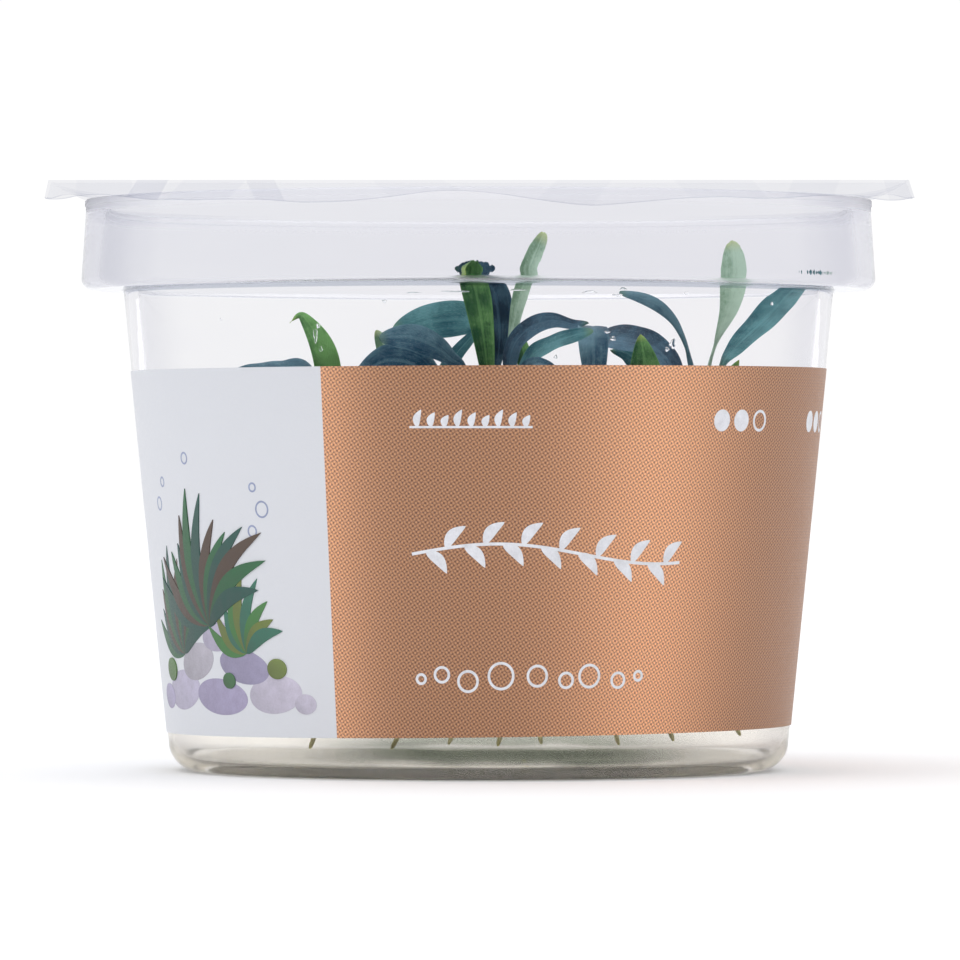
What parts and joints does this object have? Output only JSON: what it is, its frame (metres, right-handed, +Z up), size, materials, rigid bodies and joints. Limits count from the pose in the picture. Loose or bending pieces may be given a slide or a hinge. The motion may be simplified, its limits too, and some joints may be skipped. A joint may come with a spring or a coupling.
{
  "type": "bucephalandra plantlets in a sealed culture cup",
  "caption": "Bucephalandra water plantlets rooted in clear nutrient gel, inside a clear plastic culture cup with a wrap label and a sealed film top.",
  "frame": {"origin": "centre of the cup's foot, on the surface it stands on", "axes": "+Z up along the cup's axis, -Y out of the front of the label, +X to the right of someone who looks at the front"},
  "size_m": [0.0977, 0.0977, 0.0664],
  "materials": {
    "cup_plastic": "clear, gloss on the body and slightly frosted on the collar",
    "film_plastic": "clear crinkled film",
    "label_paper": "printed, satin",
    "gel": "clear wet gel with a cream tint",
    "rhizome": "living plant, stands in for stem and root",
    "leaf_green": "living leaf, satin",
    "leaf_sage": "living leaf, satin",
    "leaf_teal": "living leaf, satin",
    "leaf_slate": "living leaf, satin",
    "leaf_navy": "living leaf, satin"
  },
  "bodies": {
    "root": {"cup": "cup_plastic", "seal_film": "film_plastic", "label": "label_paper", "nutrient_gel": "gel", "rhizome_a": "rhizome", "rhizome_b": "rhizome", "rhizome_c": "rhizome", "rhizome_d": "rhizome", "rhizome_e": "rhizome", "rhizome_f": "rhizome", "rhizome_g": "rhizome", "rhizome_h": "rhizome", "rhizome_j": "rhizome", "rhizome_k": "rhizome", "leaf_a1": "leaf_green", "leaf_a2": "leaf_navy", "leaf_a3": "leaf_sage", "leaf_a4": "leaf_teal", "leaf_j1": "leaf_navy", "leaf_j2": "leaf_teal", "leaf_j3": "leaf_green", "leaf_j4": "leaf_slate", "leaf_c1": "leaf_slate", "leaf_c2": "leaf_slate", "leaf_c3": "leaf_teal", "leaf_d1": "leaf_green", "leaf_d2": "leaf_slate", "leaf_e1": "leaf_sage", "leaf_f1": "leaf_slate", "leaf_f2": "leaf_navy", "leaf_f3": "leaf_teal", "leaf_k1": "leaf_green", "leaf_k2": "leaf_slate", "leaf_b1": "leaf_sage", "leaf_b2": "leaf_teal", "leaf_b3": "leaf_green", "leaf_a5": "leaf_teal", "leaf_c4": "leaf_teal", "leaf_d3": "leaf_teal", "leaf_d4": "leaf_slate", "leaf_e2": "leaf_slate", "leaf_e3": "leaf_teal", "leaf_f4": "leaf_teal", "leaf_f5": "leaf_slate", "leaf_b4": "leaf_slate", "leaf_b5": "leaf_green", "leaf_k3": "leaf_teal", "leaf_g1": "leaf_teal", "leaf_g2": "leaf_green", "leaf_g3": "leaf_slate", "leaf_g4": "leaf_teal", "leaf_g5": "leaf_slate", "leaf_g6": "leaf_teal", "leaf_h1": "leaf_teal", "leaf_h2": "leaf_green", "leaf_h3": "leaf_slate", "leaf_h4": "leaf_teal", "leaf_h5": "leaf_slate", "leaf_h6": "leaf_teal"}
  },
  "joints": []
}
